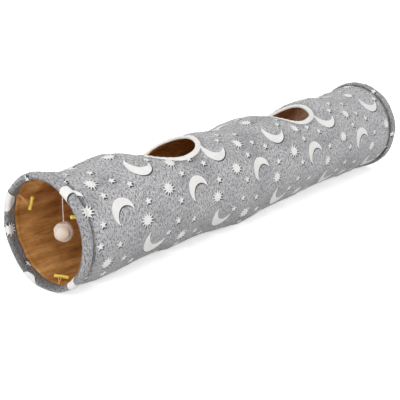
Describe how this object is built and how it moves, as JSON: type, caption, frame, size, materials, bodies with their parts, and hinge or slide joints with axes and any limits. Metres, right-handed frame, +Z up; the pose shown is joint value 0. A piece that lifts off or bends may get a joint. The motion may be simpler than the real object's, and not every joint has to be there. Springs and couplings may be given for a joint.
{
  "type": "cat tunnel",
  "caption": "Collapsible plush cat tunnel with a crinkle lining, two bound peepholes on top, hanging ball toys and toggle fastenings.",
  "frame": {"origin": "on the floor, under the middle of the tunnel's box", "axes": "+X along the tunnel from the front mouth to the rear mouth, +Z up through the peepholes"},
  "size_m": [1.3, 0.259, 0.2577],
  "materials": {
    "plush": "short heathered pile",
    "film": "satiny crinkle film",
    "spring_steel": "drawn wire",
    "tape": "woven tape",
    "ball_plush": "short plush",
    "toy_cord": "twisted cord",
    "toggle_plastic": "moulded",
    "loop_cord": "braided cord",
    "cap_plastic": "moulded"
  },
  "bodies": {
    "front_end": {"front_cuff": "plush", "front_hoop": "spring_steel", "front_hoop_ferrule": "spring_steel", "outer_shell": "plush", "inner_liner": "film", "spiral_wire": "spring_steel", "spiral_sleeve": "tape", "front_wire_cap": "cap_plastic", "front_peephole_binding": "tape", "rear_peephole_binding": "tape", "front_toy_tab": "tape"},
    "rear_end": {"rear_cuff": "plush", "rear_hoop": "spring_steel", "rear_hoop_ferrule": "spring_steel", "rear_wire_cap": "cap_plastic"},
    "rear_toy_seat": {"rear_toy_tab": "tape"},
    "front_toy_ring": {"front_toy_knot": "toy_cord"},
    "front_toy": {"front_toy_cord": "toy_cord", "front_toy_ball": "ball_plush"},
    "rear_toy_ring": {"rear_toy_knot": "toy_cord"},
    "rear_toy": {"rear_toy_cord": "toy_cord", "rear_toy_ball": "ball_plush"},
    "far_fastening": {"far_toggle": "toggle_plastic", "far_toggle_cord": "loop_cord"},
    "near_fastening": {"near_toggle": "toggle_plastic", "near_toggle_cord": "loop_cord"},
    "bottom_fastening": {"bottom_toggle": "toggle_plastic", "bottom_toggle_cord": "loop_cord"},
    "far_loop": {"far_rear_loop": "loop_cord"},
    "near_loop": {"near_rear_loop": "loop_cord"},
    "bottom_loop": {"bottom_rear_loop": "loop_cord"}
  },
  "joints": [
    {"name": "collapse", "type": "slide", "parent": "front_end", "child": "rear_end", "axis": [-1, 0, 0], "range_m": [0, 1.218], "stiffness_N_per_m": 11, "deforming": ["outer_shell", "inner_liner", "spiral_wire", "spiral_sleeve", "front_wire_cap", "rear_wire_cap", "front_peephole_binding", "rear_peephole_binding"]},
    {"name": "rear_toy_travel", "type": "slide", "parent": "front_end", "child": "rear_toy_seat", "axis": [-1, 0, 0], "range_m": [0, 0.98]},
    {"name": "front_toy_sway", "type": "hinge", "parent": "front_end", "child": "front_toy_ring", "pos_m": [-0.59, 0, 0.23974], "axis": [-1, 0, 0], "range_deg": [-35, 35]},
    {"name": "front_toy_swing", "type": "hinge", "parent": "front_toy_ring", "child": "front_toy", "pos_m": [-0.59, 0, 0.23514], "axis": [0, 1, 0], "range_deg": [-70, 70]},
    {"name": "rear_toy_sway", "type": "hinge", "parent": "rear_toy_seat", "child": "rear_toy_ring", "pos_m": [0.38, 0.05166, 0.23057], "axis": [1, 0, 0], "range_deg": [-35, 18]},
    {"name": "rear_toy_swing", "type": "hinge", "parent": "rear_toy_ring", "child": "rear_toy", "pos_m": [0.38, 0.05166, 0.22597], "axis": [0, 1, 0], "range_deg": [-70, 70]},
    {"name": "far_toggle_flop", "type": "hinge", "parent": "front_end", "child": "far_fastening", "pos_m": [-0.6208, 0.10529, 0.18443], "axis": [1, 0, 0], "range_deg": [-60, 0]},
    {"name": "near_toggle_flop", "type": "hinge", "parent": "front_end", "child": "near_fastening", "pos_m": [-0.6208, -0.08605, 0.21155], "axis": [1, 0, 0], "range_deg": [0, 60]},
    {"name": "bottom_toggle_flop", "type": "hinge", "parent": "front_end", "child": "bottom_fastening", "pos_m": [-0.6208, -0.01037, 0.00994], "axis": [0.3903, -0.9207, 0], "range_deg": [0, 110]},
    {"name": "far_loop_flop", "type": "hinge", "parent": "rear_end", "child": "far_loop", "pos_m": [0.6208, 0.08327, 0.21468], "axis": [1, 0, 0], "range_deg": [-60, 0]},
    {"name": "near_loop_flop", "type": "hinge", "parent": "rear_end", "child": "near_loop", "pos_m": [0.6208, -0.10715, 0.18071], "axis": [1, 0, 0], "range_deg": [0, 60]},
    {"name": "bottom_loop_flop", "type": "hinge", "parent": "rear_end", "child": "bottom_loop", "pos_m": [0.6208, 0.03688, 0.01494], "axis": [0, 0.9511, 0.309], "range_deg": [0, 110]}
  ],
  "couplings": [
    {"joint": "rear_toy_travel", "follows": "collapse", "ratio": 0.80449}
  ]
}
